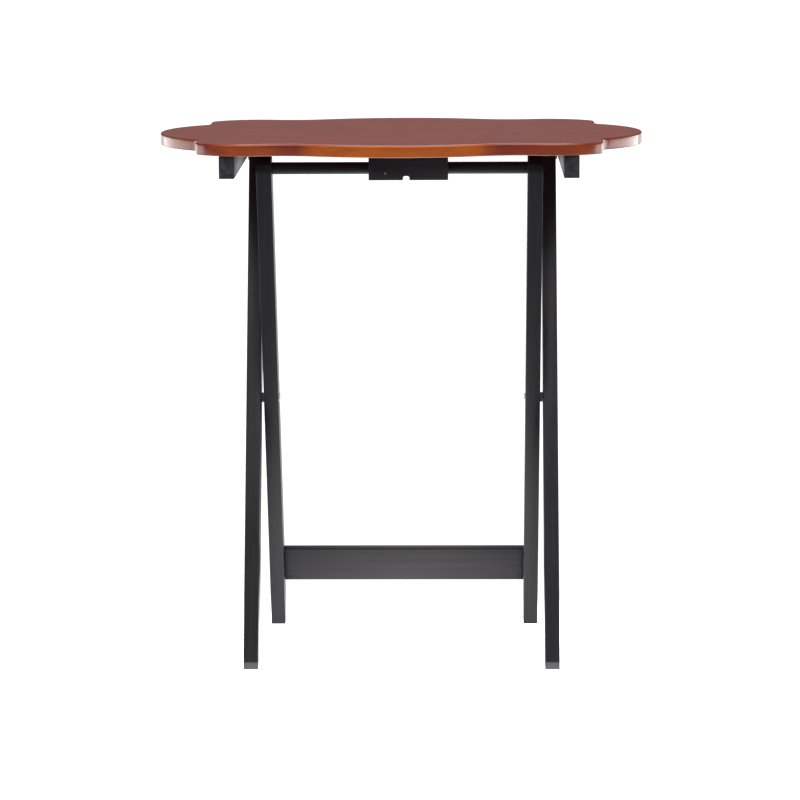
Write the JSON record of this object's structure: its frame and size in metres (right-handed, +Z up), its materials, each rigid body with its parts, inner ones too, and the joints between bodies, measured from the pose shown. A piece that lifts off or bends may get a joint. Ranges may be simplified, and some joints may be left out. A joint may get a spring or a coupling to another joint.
{
  "type": "folding tray table",
  "caption": "Folding tray table with a scalloped wooden top on two crossed black leg frames that fold like scissors under battens and a catch block.",
  "frame": {"origin": "on the floor, under the middle of the top, with the table open", "axes": "+Z up, +X to the user's right along the long side of the top, +Y away from the user"},
  "size_m": [0.605, 0.404, 0.66],
  "materials": {
    "cherry_top": "glossy clear varnish over a cherry stain",
    "black_painted_wood": "satin to gloss black paint",
    "zinc_steel": "zinc-plated",
    "spring_steel": "bright rolled strip",
    "nylon_washer": "matte dark nylon"
  },
  "bodies": {
    "outer_frame": {"outer_leg_left": "black_painted_wood", "outer_leg_right": "black_painted_wood", "pivot_nut_left": "zinc_steel", "pivot_nut_right": "zinc_steel", "pivot_spacer_left": "nylon_washer", "pivot_spacer_right": "nylon_washer", "rear_washer_left": "nylon_washer", "rear_washer_right": "nylon_washer", "rear_rod": "black_painted_wood"},
    "inner_frame": {"inner_leg_left": "black_painted_wood", "inner_leg_right": "black_painted_wood", "front_rod": "black_painted_wood", "lower_stretcher": "black_painted_wood", "stretcher_screw_left_upper": "zinc_steel", "stretcher_screw_left_lower": "zinc_steel", "stretcher_screw_right_upper": "zinc_steel", "stretcher_screw_right_lower": "zinc_steel", "pivot_bolt_left": "zinc_steel", "pivot_bolt_right": "zinc_steel"},
    "tabletop": {"tabletop": "cherry_top", "batten_left": "black_painted_wood", "batten_right": "black_painted_wood", "batten_screw_left_front": "zinc_steel", "batten_screw_left_middle": "zinc_steel", "batten_screw_left_rear": "zinc_steel", "batten_screw_right_front": "zinc_steel", "batten_screw_right_middle": "zinc_steel", "batten_screw_right_rear": "zinc_steel", "catch_block": "black_painted_wood", "catch_block_screw_left": "zinc_steel", "catch_block_screw_right": "zinc_steel", "catch_block_brad": "zinc_steel", "spring_clip": "spring_steel", "spring_clip_screw": "zinc_steel"}
  },
  "joints": [
    {"name": "leg_fold", "type": "hinge", "parent": "outer_frame", "child": "inner_frame", "pos_m": [0, 0, 0.321], "axis": [-1, 0, 0], "range_deg": [0, 38.7], "deforming": ["spring_clip"]},
    {"name": "top_turn", "type": "hinge", "parent": "outer_frame", "child": "tabletop", "pos_m": [0, 0.122, 0.6255], "axis": [-1, 0, 0], "range_deg": [0, 19.35]}
  ],
  "couplings": [
    {"joint": "top_turn", "follows": "leg_fold", "ratio": 0.5}
  ]
}
